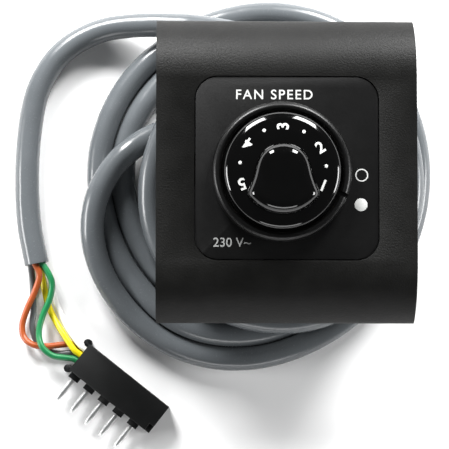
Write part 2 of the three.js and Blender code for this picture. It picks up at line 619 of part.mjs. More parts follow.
// ---------------------------------------------------------------- the five stripped cores
const TAIL_END = TAIL_ROUTE.at(-1);
const TAIL_HEADING = new THREE.Vector3(0.2, -0.98, 0).normalize();

/** A point just past the cut sheath, at an angle round the ring of cores. */
function atSheath(degrees) {
  const side = CORE_RING * Math.cos(radians(degrees));
  const up = CORE_RING * Math.sin(radians(degrees));
  const [x, y, z] = TAIL_END;
  const clear = 2 * GAP;
  return [x + clear * TAIL_HEADING.x - side * TAIL_HEADING.y, y + clear * TAIL_HEADING.y + side * TAIL_HEADING.x, z + up];
}

/** A point of the plug's own frame, placed in the panel's. */
function atPlug(x, y, z) {
  const [c, s] = [Math.cos(radians(PLUG.turn)), Math.sin(radians(PLUG.turn))];
  return [PLUG.x + x * c - y * s, PLUG.y + x * s + y * c, z];
}

const CORE_ROUTES = {
  orange: [
    atSheath(108), [-65, -26.2, 4.5], [-66.4, -30.8, 3.4], [-68.4, -35.2, 2.4], [-69.7, -39.4, 1.7],
    [-69.2, -42.9, 2], [-66.6, -44.9, 2.95], [-63, -45.3, 2.85], [-59.4, -44.9, 2.4],
    atPlug(-17, 1.75, 2.2), atPlug(-14.6, 1.7, 2.2), atPlug(-12.2, 1.6, 2.2),
  ],
  green: [
    atSheath(36), [-62.2, -26.5, 4.5], [-61.6, -29.2, 4.1], [-62.4, -33, 3.7], [-64.2, -37.2, 3.4],
    [-65.1, -41.5, 3.8], [-64.3, -45.2, 4.8], [-61.6, -47.7, 4.7], [-58.6, -48.3, 4.4],
    atPlug(-14.4, -1.35, 4.15), atPlug(-12, -1.35, 4.1), atPlug(-2.3, -1.35, 4.1),
  ],
  yellow: [
    atSheath(-108), [-64.5, -26, 1.6], [-63.9, -29.5, 1.4], [-62.8, -34, 1.3], [-61, -38, 1.7],
    [-58.5, -42, 3.4], atPlug(-16, 0.6, 4.25), atPlug(-13.4, 0.6, 4.1), atPlug(2.7, 0.6, 4.1),
  ],
  white: [
    atSheath(-36), [-62.5, -26.3, 2], [-61.9, -29.2, 1.4], [-60.8, -33.3, 1.1], [-58.8, -37.8, 1.5],
    [-56.7, -41.5, 3], atPlug(-15.4, 2.55, 4.1), atPlug(-13, 2.55, 4.1), atPlug(7.7, 2.55, 4.1),
  ],
  grey: [
    atSheath(180), [-67.1, -27, 1.7], [-66.9, -31.5, 1], [-66.8, -36, 0.9], [-67.1, -40, 0.9],
    [-66, -43.6, 0.9], [-63.2, -46.3, 0.95], [-59.8, -47.2, 1.3], atPlug(-16, -0.55, 1.9),
    atPlug(-13.6, -0.5, 2.2), atPlug(-7.3, -0.5, 2.2),
  ],
};
for (const [colour, route] of Object.entries(CORE_ROUTES)) {
  add(panel, `wire_${colour}`, cord(route, CABLE.core, CABLE.coreSides, 14), colour);
}

export default panel;
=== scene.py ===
"""Rotary fan speed control panel, lying face up on its coiled five-core cable.

Metres, with +Z towards the user. Dimensions are written in millimetres and brought to metres by mm().
"""

import json
import math

import bmesh
import bpy
import numpy as np
from mathutils import Matrix, Vector


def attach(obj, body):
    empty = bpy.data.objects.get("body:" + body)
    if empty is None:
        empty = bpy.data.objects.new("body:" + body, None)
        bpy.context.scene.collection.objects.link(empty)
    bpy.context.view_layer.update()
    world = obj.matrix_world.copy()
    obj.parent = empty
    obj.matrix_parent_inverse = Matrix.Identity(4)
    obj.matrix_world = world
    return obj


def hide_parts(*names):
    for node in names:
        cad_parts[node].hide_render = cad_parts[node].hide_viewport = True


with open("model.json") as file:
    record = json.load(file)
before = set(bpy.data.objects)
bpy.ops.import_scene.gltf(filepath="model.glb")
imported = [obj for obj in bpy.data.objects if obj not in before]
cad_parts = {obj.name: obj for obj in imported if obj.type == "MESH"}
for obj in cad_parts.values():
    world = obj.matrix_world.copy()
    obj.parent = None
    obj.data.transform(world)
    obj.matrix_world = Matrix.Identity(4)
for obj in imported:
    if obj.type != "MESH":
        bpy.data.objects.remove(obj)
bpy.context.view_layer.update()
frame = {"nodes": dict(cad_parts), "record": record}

MM = 0.001


def mm(*values):
    """Millimetres brought to metres."""
    return tuple(v * MM for v in values)


# ---------------------------------------------------------------- camera
def set_camera():
    """A long lens nearly straight above the panel, leaning a little towards its lower edge."""
    data = bpy.data.cameras.new("camera")
    data.sensor_width = 36
    data.lens = 168.5
    data.clip_end = 10
    camera = bpy.data.objects.new("camera", data)
    bpy.context.collection.objects.link(camera)
    turn = Matrix.Rotation(math.radians(0.08), 4, "Z") @ Matrix.Rotation(math.radians(-1.34), 4, "Y")
    turn = turn @ Matrix.Rotation(math.radians(4.01), 4, "X")
    camera.matrix_world = Matrix.Translation(mm(-28.4, -52.1, 570.8)) @ turn
    bpy.context.scene.camera = camera


set_camera()

# ---------------------------------------------------------------- cable route
CABLE = 6.5  # sheath diameter
CORE = 1.7  # diameter of a stripped core
SPACING = 6.55  # least distance between the middles of two turns
RESTING = 3.28  # height of the cable's middle where it lies on the surface
EXIT = (-9, 13.6, 7.6)  # where the cable leaves the rear box, heading along -X
COIL_CENTRE = (-7, -2.5)
LAYER = 5.9  # rise from one layer of turns to the next
STEP = 3.0  # distance between the points of the settling cable

# Straight out through the boot, then the first bend, which climbs onto the coil.
LEAD = [
    (-0.6, 13.6, 7.6), (-5, 13.6, 7.6), (-12, 13.6, 7.6), (-19, 13.6, 7.6), (-25.4, 13.6, 7.6),
    (-29.6, 13.35, 8), (-33.6, 12.4, 9), (-38.6, 10, 10.2), (-43.6, 6, 10.6), (-47.6, 1.6, 10.4),
]
# Four loose turns, each as a radius at every thirty degrees from the left, and the layer there.
TURNS = [
    [43, 45.9, 45, 40.8, 41, 42.8, 43.6, 46.6, 47.4, 45.8, 44.2, 44.4],
    [43, 40.3, 47.2, 45, 36, 36.2, 37, 40, 41, 37.4, 32.4, 28.2],
    [30.3, 31.2, 34.4, 37.7, 41, 43, 43.6, 43.8, 43.6, 42.6, 40.3, 39.3],
    [37.2, 37.8, 36.6, 34.4, 29.6, 32.4, 30.2, 33.6, 38.6, 39.6],
]
LAYERS = [
    [1, 0, 0, 0, 0, 0, 0, 0, 0, 0, 0, 0],
    [0, 0.4, 1.1, 0.9, 0.6, 0, 0, 0, 0, 0.5, 1.3, 1.85],
    [1.6, 1, 1.2, 1.6, 2, 1.5, 1.1, 1, 0.8, 0.5, 0.3, 0],
    [0, 0.2, 0, 0, 0.2, 0.9, 0.5, 0.3, 1, 1.5],
]
# Off the coil at the top left, down to the surface, and round to the stripped end.
TAIL = [
    (-15.5, 39, 11), (-23, 40.4, 10.4), (-30, 41.1, 9.2), (-37, 41.4, 7.1), (-42, 41.3, 5.6),
    (-46.8, 40.8, 4.4), (-51.4, 39.4, 3.6), (-56.3, 36.8, 3.3), (-59.7, 34, 3.3), (-62.5, 30.6, 3.3),
    (-65.5, 24.9, 3.3), (-67.1, 19, 3.3), (-68, 12.5, 3.3), (-68.5, 6, 3.3), (-68.6, -0.5, 3.3),
    (-68.4, -7, 3.3), (-67.6, -14.5, 3.3), (-66, -22.2, 3.3),
]
LEAD_LENGTH = 24.8  # the part of the lead that the boot and box hold still
TAIL_HELD = (-36.5, 38)  # left of this and above this, the tail lies where it is


def smooth_line(points, step):
    """A smooth curve through the points, as points at most one step apart."""
    p = np.asarray(points, float)
    p = np.vstack([2 * p[0] - p[1], p, 2 * p[-1] - p[-2]])
    line = []
    for i in range(1, len(p) - 2):
        a, b, c, d = p[i - 1:i + 3]
        count = max(1, int(np.ceil(np.linalg.norm(c - b) / step)))
        for t in np.arange(count) / count:
            cubic = (-a + 3 * b - 3 * c + d) * t**3
            line.append(0.5 * (2 * b + (c - a) * t + (2 * a - 5 * b + 4 * c - d) * t**2 + cubic))
    line.append(p[-2])
    return np.array(line)


def evenly_spaced(line, step):
    """The same line with its points at even distances."""
    lengths = np.linalg.norm(np.diff(line, axis=0), axis=1)
    along = np.concatenate([[0], np.cumsum(lengths)])
    wanted = np.linspace(0, along[-1], int(round(along[-1] / step)) + 1)
    return np.stack([np.interp(wanted, along, line[:, k]) for k in range(3)], 1)


def coil_route():
    points = list(LEAD)
    for radii, layers in zip(TURNS, LAYERS):
        for i, (radius, layer) in enumerate(zip(radii, layers)):
            angle = math.radians(180 + 30 * i)
            x = COIL_CENTRE[0] + radius * math.cos(angle)
            y = COIL_CENTRE[1] + radius * math.sin(angle)
            points.append((x, y, CABLE / 2 + LAYER * layer))
    return evenly_spaced(smooth_line(points + TAIL, 1.0), STEP)


def keep_off_housing(line, clear):
    """Moves the cable out of the rear box and out from under the round tub."""
    corner = 2.5
    low, high = np.array([-9 + corner, -18 + corner]), np.array([16 - corner, 21 - corner])
    nearest = np.clip(line[:, :2], low, high)
    away = line[:, :2] - nearest
    distance = np.hypot(away[:, 0], away[:, 1])
    reach = corner + clear
    inside = (line[:, 2] < 13 + clear) & (distance < reach) & (distance > 1e-6)
    line[inside, :2] = nearest[inside] + away[inside] / distance[inside][:, None] * reach
    tub_radius, tub_floor = 26 + clear, 13.3 - clear
    distance = np.hypot(line[:, 0], line[:, 1])
    inside = (line[:, 2] > tub_floor) & (distance < tub_radius)
    under = inside & (line[:, 2] - tub_floor < tub_radius - distance)
    beside = inside & ~under
    line[under, 2] = tub_floor
    line[beside, :2] *= (tub_radius / distance[beside])[:, None]


def settle(line, rounds=400, stiffness=14.0):
    """Lets the coil sink under its weight while stiffness smooths it and its turns push apart."""
    line = line.copy()
    home = line.copy()
    count = len(line)
    held = list(range(int(round(LEAD_LENGTH / STEP)) + 1))
    late = range(count // 2, count)
    first_held = min(k for k in late if line[k, 0] < TAIL_HELD[0] and line[k, 1] > TAIL_HELD[1] and k > count - 60)
    held += list(range(first_held, count))
    fixed = line[held].copy()
    bending = np.zeros((count - 2, count))
    for k in range(count - 2):
        bending[k, k:k + 3] = (1, -2, 1)
    weight = np.ones(count)
    weight[held] = 1e5
    smoother = np.linalg.inv(np.diag(weight) + stiffness * bending.T @ bending) * weight[None, :]
    first, second = np.triu_indices(count, k=7)
    for turn in range(rounds):
        early = turn < rounds / 2
        line[:, 2] -= 0.06
        line[:, :2] += (0.05 if early else 0.02) * (home[:, :2] - line[:, :2])
        line = smoother @ line
        for _ in range(3):
            apart = line[second] - line[first]
            squared = np.einsum("ij,ij->i", apart, apart)
            close = squared < SPACING**2
            distance = np.sqrt(squared[close])
            push = apart[close] * (0.3 * (SPACING - distance) / np.maximum(distance, 1e-6))[:, None]
            if early:
                push *= np.array([0.3, 0.3, 1.3])
            np.add.at(line, first[close], -push)
            np.add.at(line, second[close], push)
            line[:, 2] = np.clip(line[:, 2], RESTING, 20.3)
            keep_off_housing(line, 3.3)
            line[held] = fixed
    return line


def cord_piece(name, line, diameter, resolution):
    """A round cord along a line of points in millimetres."""
    curve = bpy.data.curves.new(name, "CURVE")
    curve.dimensions = "3D"
    spline = curve.splines.new("POLY")
    spline.points.add(len(line) - 1)
    for point, place in zip(spline.points, line):
        point.co = (*mm(*place), 1)
    spline.use_smooth = True
    curve.bevel_depth = diameter * MM / 2
    curve.bevel_resolution = resolution
    curve.use_fill_caps = True
    piece = bpy.data.objects.new(name, curve)
    bpy.context.collection.objects.link(piece)
    bpy.ops.object.select_all(action="DESELECT")
    piece.select_set(True)
    bpy.context.view_layer.objects.active = piece
    bpy.ops.object.convert(target="MESH")
    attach(piece, "panel")
    return piece


cable_line = evenly_spaced(smooth_line(settle(coil_route()), 1.0), 1.5)
cable = cord_piece("cable", cable_line, CABLE, 6)
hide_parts("cable_lead", "cable_coil", "cable_tail")

# ---------------------------------------------------------------- plug frame and the stripped cores
PLUG = {"x": -43.4, "y": -56.6, "turn": -38.3}
PIN_FIRST, PIN_PITCH, PIN_HEIGHT = -11.3, 5, 3
SHEATH_END = (-66, -22.2, 3.4)
TAIL_HEADING = (0.2, -0.98)
CORE_RING = 1.6  # the five cores lie on this radius inside the sheath


def at_sheath(degrees):
    """A point just past the cut sheath, at an angle round the ring of cores."""
    side = CORE_RING * math.cos(math.radians(degrees))
    up = CORE_RING * math.sin(math.radians(degrees))
    x, y, z = SHEATH_END
    ahead = 0.6
    dx, dy = TAIL_HEADING
    return (x + ahead * dx - side * dy, y + ahead * dy + side * dx, z + up)


def at_plug(x, y, z):
    """A point of the plug's own frame, placed in the panel's."""
    c, s = math.cos(math.radians(PLUG["turn"])), math.sin(math.radians(PLUG["turn"]))
    return (PLUG["x"] + x * c - y * s, PLUG["y"] + x * s + y * c, z)


# In the order of the pins, from the ears' end of the plug.
CORES = {
    "orange": [
        at_sheath(108), (-65, -26.2, 4.5), (-66.4, -30.8, 3.4), (-68.4, -35.2, 2.4), (-69.7, -39.4, 1.7),
        (-69.2, -42.9, 2), (-66.6, -44.9, 2.95), (-63, -45.3, 2.85), (-59.4, -44.9, 2.4),
        at_plug(-17, 1.75, 2.2), at_plug(-14.6, 1.7, 2.2), at_plug(-12.2, 1.6, 2.2),
    ],
    "grey": [
        at_sheath(180), (-67.1, -27, 1.7), (-66.9, -31.5, 1), (-66.8, -36, 0.9), (-67.1, -40, 0.9),
        (-66, -43.6, 0.9), (-63.2, -46.3, 0.95), (-59.8, -47.2, 1.3), at_plug(-16, -0.55, 1.9),
        at_plug(-13.6, -0.5, 2.2), at_plug(-7.3, -0.5, 2.2),
    ],
    "green": [
        at_sheath(36), (-62.2, -26.5, 4.5), (-61.6, -29.2, 4.1), (-62.4, -33, 3.7), (-64.2, -37.2, 3.4),
        (-65.1, -41.5, 3.8), (-64.3, -45.2, 4.8), (-61.6, -47.7, 4.7), (-58.6, -48.3, 4.4),
        at_plug(-14.4, -1.35, 4.15), at_plug(-12, -1.35, 4.1), at_plug(-2.3, -1.35, 4.1),
    ],
    "yellow": [
        at_sheath(-108), (-64.5, -26, 1.6), (-63.9, -29.5, 1.4), (-62.8, -34, 1.3), (-61, -38, 1.7),
        (-58.5, -42, 3.4), at_plug(-16, 0.6, 4.25), at_plug(-13.4, 0.6, 4.1), at_plug(2.7, 0.6, 4.1),
    ],
    "white": [
        at_sheath(-36), (-62.5, -26.3, 2), (-61.9, -29.2, 1.4), (-60.8, -33.3, 1.1), (-58.8, -37.8, 1.5),
        (-56.7, -41.5, 3), at_plug(-15.4, 2.55, 4.1), at_plug(-13, 2.55, 4.1), at_plug(7.7, 2.55, 4.1),
    ],
}
core_pieces = {}
core_lines = {}
for colour, route in CORES.items():
    core_lines[colour] = evenly_spaced(smooth_line(route, 0.5), 0.8)
    core_pieces[colour] = cord_piece(f"core_{colour}", core_lines[colour], CORE, 5)
    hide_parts(f"wire_{colour}")


# ---------------------------------------------------------------- modelling helpers
def alone(piece):
    """Makes one piece the only selected one."""
    bpy.ops.object.select_all(action="DESELECT")
    piece.select_set(True)
    bpy.context.view_layer.objects.active = piece


def fix_place():
    """Puts the active piece's place, turn and size into its mesh."""
    bpy.ops.object.transform_apply(location=True, rotation=True, scale=True)


def edit(piece):
    alone(piece)
    bpy.ops.object.mode_set(mode="EDIT")
    bpy.ops.mesh.select_mode(type="VERT")
    bpy.ops.mesh.select_all(action="SELECT")


def leave_edit(piece, weld=True):
    """Closes doubled points, turns all faces outwards and leaves edit mode."""
    bpy.ops.mesh.select_all(action="SELECT")
    if weld:
        bpy.ops.mesh.remove_doubles(threshold=1e-6)
    bpy.ops.mesh.normals_make_consistent(inside=False)
    bpy.ops.object.mode_set(mode="OBJECT")
    return piece


def pick_faces(test):
    """Selects the faces whose middle and normal pass the test."""
    bpy.ops.mesh.select_mode(type="FACE")
    bpy.ops.mesh.select_all(action="DESELECT")
    data = bpy.context.edit_object.data
    mesh = bmesh.from_edit_mesh(data)
    for face in mesh.faces:
        face.select_set(bool(test(face.calc_center_median() / MM, face.normal)))
    mesh.select_flush_mode()
    bmesh.update_edit_mesh(data)


def pick_edges(test):
    """Selects the edges whose middle and direction pass the test."""
    bpy.ops.mesh.select_mode(type="EDGE")
    bpy.ops.mesh.select_all(action="DESELECT")
    data = bpy.context.edit_object.data
    mesh = bmesh.from_edit_mesh(data)
    for edge in mesh.edges:
        ends = [v.co for v in edge.verts]
        edge.select_set(bool(test((ends[0] + ends[1]) / 2 / MM, (ends[1] - ends[0]).normalized())))
    mesh.select_flush_mode()
    bmesh.update_edit_mesh(data)


def push(dx=0, dy=0, dz=0):
    """Extrudes the selected faces by a step in millimetres."""
    bpy.ops.mesh.extrude_region_move(TRANSFORM_OT_translate={"value": mm(dx, dy, dz)})


def turned(name, profile, sides=96, at=(0, 0)):
    """A body turned about an upright axis: a circle, extruded and resized along (radius, height) pairs."""
    x, y = at
    radius, height = profile[0]
    bpy.ops.object.select_all(action="DESELECT")
    bpy.ops.mesh.primitive_circle_add(vertices=sides, radius=radius * MM, location=mm(x, y, height))
    piece = bpy.context.object
    piece.name = name
    fix_place()
    edit(piece)
    for next_radius, next_height in profile[1:]:
        lift = mm(0, 0, next_height - height)
        bpy.ops.mesh.extrude_edges_move(TRANSFORM_OT_translate={"value": lift})
        size = next_radius / radius
        bpy.ops.transform.resize(value=(size, size, 1), center_override=mm(x, y, next_height))
        radius, height = next_radius, next_height
    bpy.ops.mesh.select_all(action="SELECT")
    bpy.ops.mesh.remove_doubles(threshold=1e-6)
    bpy.ops.mesh.fill_holes(sides=0)
    return leave_edit(piece)


def block(name, low, high, turn=0, about=(0, 0)):
    """A box between two corners, turned about an upright axis. It is only ever a start or a cutter."""
    middle = [(a + b) / 2 - c for a, b, c in zip(low, high, (*about, 0))]
    size = mm(*(b - a for a, b in zip(low, high)))
    spin = Matrix.Rotation(math.radians(turn), 4, "Z")
    place = Matrix.Translation(mm(*about, 0)) @ spin @ Matrix.Translation(mm(*middle))
    bpy.ops.object.select_all(action="DESELECT")
    bpy.ops.mesh.primitive_cube_add(size=1, location=place.translation, rotation=place.to_euler(), scale=size)
    piece = bpy.context.object
    piece.name = name
    fix_place()
    return piece


def rounded_block(name, side, corner, z0, z1, steps=12):
    """A square block about the middle with round upright edges."""
    half = side / 2
    piece = block(name, (-half, -half, z0), (half, half, z1))
    edit(piece)
    pick_edges(lambda middle, way: abs(way.z) > 0.9)
    bpy.ops.mesh.bevel(offset=corner * MM, segments=steps, profile=0.5)
    return leave_edit(piece)


def combine(piece, others, operation):
    """Cuts other pieces out of a piece, or fuses them with it, and removes them."""
    for other in others:
        alone(piece)
        change = piece.modifiers.new("combine", "BOOLEAN")
        change.operation = operation
        change.solver = "EXACT"
        change.object = other
        bpy.ops.object.modifier_apply(modifier=change.name)
        bpy.data.objects.remove(other)
    return piece


def soften(piece, width, steps=3, angle=35):
    """Rounds the sharp edges of a piece by a width in millimetres."""
    alone(piece)
    bevel = piece.modifiers.new("edges", "BEVEL")
    bevel.width = width * MM
    bevel.segments = steps
    bevel.limit_method = "ANGLE"
    bevel.angle_limit = math.radians(angle)
    bevel.harden_normals = True
    bpy.ops.object.modifier_apply(modifier=bevel.name)
    return piece


def finish(piece, body, nodes=(), smooth=35):
    """Shades a piece, gives it its body, and hides the CAD nodes it stands for."""
    alone(piece)
    bpy.ops.object.shade_smooth_by_angle(angle=math.radians(smooth))
    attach(piece, body)
    if nodes:
        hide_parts(*nodes)
    return piece


def copy_of(piece, name):
    """A copy with a mesh of its own."""
    twin = piece.copy()
    twin.data = piece.data.copy()
    twin.name = name
    bpy.context.collection.objects.link(twin)
    return twin


def place_by(piece, matrix):
    """Moves a piece by a matrix and puts the move into its mesh."""
    alone(piece)
    piece.matrix_world = matrix
    fix_place()
    return piece


def detailed_copy(node, width, body="panel", steps=2):
    """A merged copy of a CAD node's shape with its edges rounded, which stands for the node."""
    piece = copy_of(frame["nodes"][node], f"{node}_moulded")
    edit(piece)
    bpy.ops.mesh.remove_doubles(threshold=1e-6)
    bpy.ops.mesh.dissolve_limited(angle_limit=math.radians(1))
    bpy.ops.object.mode_set(mode="OBJECT")
    soften(piece, width, steps)
    return finish(piece, body, [node])


def ellipse_arc(radius, height, across, up, first, last, steps):
    """(radius, height) pairs along part of an ellipse, for a turned profile."""
    angles = [math.radians(first + (last - first) * i / steps) for i in range(steps + 1)]
    return [(radius + across * math.cos(a), height + up * math.sin(a)) for a in angles]


# ---------------------------------------------------------------- cover frame
FRAME = {"width": 67, "half": 39.5, "flat": 23.5, "front": 36, "back": 24, "wall": 2}
SHOULDER_RADIUS = 17.8
SHOULDER_SWEEP = 64  # degrees from the flat front down to the straight rim
WINDOW = {"side": 47.4, "corner": 6}
SIDES = (-1, 1)
CORNERS = [(sx, sy) for sx in SIDES for sy in SIDES]


def cover_frame():
    """The arch: a flat sheet whose two edges are spun down round the shoulders, then given its wall."""
    bpy.ops.object.select_all(action="DESELECT")
    bpy.ops.mesh.primitive_plane_add(size=1, location=mm(0, 0, FRAME["front"]))
    piece = bpy.context.object
    piece.name = "cover_frame_arch"
    piece.scale = (FRAME["width"] * MM, 2 * FRAME["flat"] * MM, 1)
    fix_place()
    edit(piece)
    centre_height = FRAME["front"] - SHOULDER_RADIUS
    for side in SIDES:
        edge_at = side * FRAME["flat"]
        pick_edges(lambda middle, way: abs(middle.y - edge_at) < 0.1 and abs(middle.z - FRAME["front"]) < 0.1)
        bpy.ops.mesh.spin(
            steps=20, angle=math.radians(SHOULDER_SWEEP), center=mm(0, edge_at, centre_height), axis=(side, 0, 0)
        )
        drop = min(v.co.z for v in bmesh.from_edit_mesh(piece.data).verts if v.co.y * side > 0) / MM - FRAME["back"]
        push(dz=-drop)
    bpy.ops.mesh.select_all(action="SELECT")
    bpy.ops.mesh.remove_doubles(threshold=1e-6)
    leave_edit(piece)
    wall = piece.modifiers.new("wall", "SOLIDIFY")
    wall.thickness = FRAME["wall"] * MM
    wall.offset = -1
    wall.use_even_offset = True
    bpy.ops.object.modifier_apply(modifier=wall.name)
    combine(piece, [rounded_block("window", WINDOW["side"], WINDOW["corner"], 30, 40)], "DIFFERENCE")
    soften(piece, 0.45, 4, 40)
    for sx, sy in CORNERS:
        hook = block("hook", (18 * sx - 4, min(30.4 * sy, 32 * sy), 24.5), (18 * sx + 4, max(30.4 * sy, 32 * sy), 33))
        edit(hook)
        pick_faces(lambda middle, normal: normal.y * sy < -0.9)
        bpy.ops.mesh.inset(thickness=0.6 * MM)
        push(dy=-0.8 * sy)
        leave_edit(hook)
        combine(piece, [hook], "UNION")
    return finish(piece, "panel", ["cover_frame"])


arch = cover_frame()

# ---------------------------------------------------------------- fascia
FASCIA = {"side": 46.8, "corner": 5.8, "top": 35.8, "bottom": 33.6, "skirt": 1.8, "back": 27.3}
DIAL = (-1.4, -1.2)
BOSS_AT, PILLAR_AT = 14, 19.4


def fascia_plate():
    """The plate in the window, with its skirt, board bosses, corner pillars and the dial's hole."""
    piece = rounded_block("fascia_plate", FASCIA["side"], FASCIA["corner"], FASCIA["back"], FASCIA["top"])
    edit(piece)
    pick_faces(lambda middle, normal: normal.z < -0.9)
    bpy.ops.mesh.inset(thickness=FASCIA["skirt"] * MM)
    push(dz=FASCIA["bottom"] - FASCIA["back"])
    leave_edit(piece)
    posts = []
    for sx, sy in CORNERS:
        at = (BOSS_AT * sx, BOSS_AT * sy)
        posts.append(turned("boss", [(1.1, 29), (1.1, 22.3), (2.5, 22.3), (2.7, 33.8), (1.1, 33.8), (1.1, 29)], 24, at))
        at = (PILLAR_AT * sx, PILLAR_AT * sy)
        posts.append(turned("pillar", [(1.1, 33), (1.1, 27.3), (2.6, 27.3), (2.6, 33.8), (1.1, 33.8), (1.1, 33)], 24, at))
    for sx in SIDES:
        posts.append(turned("peg", [(0.8, 33.8), (0.8, 31.2), (0.5, 30.9)], 16, (DIAL[0] + 6.9 * sx, DIAL[1] + 13.5)))
    combine(piece, posts, "UNION")
    hole = turned("hole", [(12, 33), (12, 35.4), (12.4, 35.81), (12.4, 37)], 96, DIAL)
    combine(piece, [hole], "DIFFERENCE")
    soften(piece, 0.35, 3, 50)
    return finish(piece, "panel", ["fascia"])


plate = fascia_plate()

# ---------------------------------------------------------------- selector ring
HUB_BORE, HUB_RADIUS = 8.2, 11.6
LUG_ANGLES = (30, 150, -60)
PEG_ANGLE = -100
NOTCH_ANGLE = -21


def selector_ring():
    """A round shoulder like a thick cord on a flat web, with the hub that runs in the fascia."""
    shoulder = ellipse_arc(16.55, 38.9, 1.35, 2.1, 0, 180, 16)
    profile = [(HUB_BORE, 30.8), (HUB_RADIUS, 30.8), (HUB_RADIUS, 36.1), (17.5, 36.1), (17.9, 36.5)]
    profile += shoulder + [(15.2, 38), (HUB_BORE, 38), (HUB_BORE, 30.8)]
    piece = turned("selector_ring_turned", profile, 120, DIAL)
    extras = []
    for angle in LUG_ANGLES:
        low, high = (11 + DIAL[0], -1.3 + DIAL[1], 31), (12.9 + DIAL[0], 1.3 + DIAL[1], 33.2)
        extras.append(block("lug", low, high, angle, DIAL))
    low, high = (11 + DIAL[0], -1.6 + DIAL[1], 30.8), (15 + DIAL[0], 1.6 + DIAL[1], 32.2)
    extras.append(block("arm", low, high, PEG_ANGLE, DIAL))
    swing = math.radians(PEG_ANGLE)
    peg_at = (DIAL[0] + 14 * math.cos(swing), DIAL[1] + 14 * math.sin(swing))
    extras.append(turned("peg", [(0.7, 27.9), (1, 28.2), (1, 31.2)], 24, peg_at))
    combine(piece, extras, "UNION")
    low, high = (14.4 + DIAL[0], -0.55 + DIAL[1], 39.2), (19 + DIAL[0], 0.55 + DIAL[1], 42)
    combine(piece, [block("notch", low, high, NOTCH_ANGLE, DIAL)], "DIFFERENCE")
    return finish(piece, "ring", ["selector_ring"], 40)


ring = selector_ring()

# ---------------------------------------------------------------- speed knob
KNOB = {"rim": 14.9, "rim_height": 41.4, "skirt_top": 9.5, "skirt_height": 44.4, "foot": 42}
GRIP = {"foot": 43.6, "top": 50, "drawn_in": 4, "shoulder": 3.6, "flare": 9.4, "flare_y": -6.6, "flank": 7, "nose": 6.6}
SKIRT = {"slope": 0.2, "round_from": 12.6, "round_drop": 1.32}


def skirt_height(radius):
    """Height of the knob's skirt at a radius: a shallow cone that rounds over to the rim."""
    cone = KNOB["skirt_height"] - SKIRT["slope"] * (radius - KNOB["skirt_top"])
    share = max(0, (radius - SKIRT["round_from"]) / (KNOB["rim"] - SKIRT["round_from"]))
    return cone - SKIRT["round_drop"] * (1 - math.sqrt(max(0, 1 - share**2)))


def cubic(a, b, c, d, t):
    """A point on a cubic curve between a and d."""
    p = [Vector(q) for q in (a, b, c, d)]
    s = 1 - t
    return s**3 * p[0] + 3 * s * s * t * p[1] + 3 * s * t * t * p[2] + t**3 * p[3]


def grip_outline(inset):
    """Plan of the grip: a rounded nose that points at the dial, flaring to a wide round heel."""
    steps = 14
    flare, flank, nose = (GRIP[key] - inset for key in ("flare", "flank", "nose"))
    flare_y = GRIP["flare_y"]
    half = []
    for curve in (
        ((flare, flare_y), (flare - 0.9, -4.2), (flank + 0.6, -2.8), (flank, 0.8)),
        ((flank, 0.8), (flank - 0.6, 4.4), (3.8 - inset / 2, nose), (0, nose)),
    ):
        half += [cubic(*curve, i / steps) for i in range(steps)]
    other_half = [Vector((-p.x, p.y)) for p in reversed(half)]
    heel_radius = math.hypot(flare, flare_y)
    start = math.atan2(flare_y, -flare) + 2 * math.pi
    end = math.atan2(flare_y, flare) + 2 * math.pi
    heel = []
    for i in range(1, 44):
        angle = start + (end - start) * i / 44
        heel.append(Vector((heel_radius * math.cos(angle), heel_radius * math.sin(angle))))
    outline = np.array([p[:] for p in half + [Vector((0, nose))] + other_half + heel])
    for _ in range(6):
        outline = outline / 2 + (np.roll(outline, 1, 0) + np.roll(outline, -1, 0)) / 4
    return outline + np.array(DIAL)


def finger_grip():
    """The grip: its plan, raised straight and then drawn in ring by ring over a soft shoulder."""
    rings = [(0, GRIP["foot"]), (0, GRIP["top"] - GRIP["shoulder"])]
    for i in range(1, 13):
        turn = math.radians(7.5 * i)
        inset = GRIP["drawn_in"] * (1 - math.cos(turn))
        rings.append((inset, GRIP["top"] - GRIP["shoulder"] * (1 - math.sin(turn))))
    outline = grip_outline(0)
    bpy.ops.object.select_all(action="DESELECT")
    bpy.ops.mesh.primitive_circle_add(vertices=len(outline), radius=10 * MM, location=mm(0, 0, GRIP["foot"]))
    grip = bpy.context.object
    fix_place()
    for vertex, place in zip(grip.data.vertices, outline):
        vertex.co = mm(*place, GRIP["foot"])
    edit(grip)
    height = GRIP["foot"]
    for inset, next_height in rings[1:]:
        lift = mm(0, 0, next_height - height)
        bpy.ops.mesh.extrude_edges_move(TRANSFORM_OT_translate={"value": lift})
        next_outline = grip_outline(inset)
        mesh = bmesh.from_edit_mesh(grip.data)
        for vertex in [v for v in mesh.verts if v.select]:
            here = np.array(vertex.co[:2]) / MM
            nearest = int(((outline - here) ** 2).sum(1).argmin())
            vertex.co = mm(*next_outline[nearest], next_height)
        bmesh.update_edit_mesh(grip.data)
        outline, height = next_outline, next_height
    bpy.ops.mesh.select_all(action="SELECT")
    bpy.ops.mesh.fill_holes(sides=0)
    return leave_edit(grip)


def speed_knob():
    """A shallow convex skirt, and the arched grip fused onto it."""
    slope = []
    for i in range(12, 0, -1):
        radius = SKIRT["round_from"] + (KNOB["rim"] - SKIRT["round_from"]) * math.sin(math.radians(7.5 * i))
        slope.append((radius, skirt_height(radius)))
    for radius in (12.6, 11.6, 10.6, 9.5):
        slope.append((radius, skirt_height(radius)))
    profile = [(3.3, 38.8), (6.4, 38.8), (6.4, 43), (9, 43), (13.2, 41.9), (13.6, 41.4), (14.75, 41.4), (14.9, 41.55)]
    profile += slope + [(3.3, 44.4), (3.3, 38.8)]
    piece = turned("speed_knob_turned", profile, 144, DIAL)
    combine(piece, [finger_grip()], "UNION")
    return finish(piece, "knob", ["speed_knob"], 50)


knob = speed_knob()


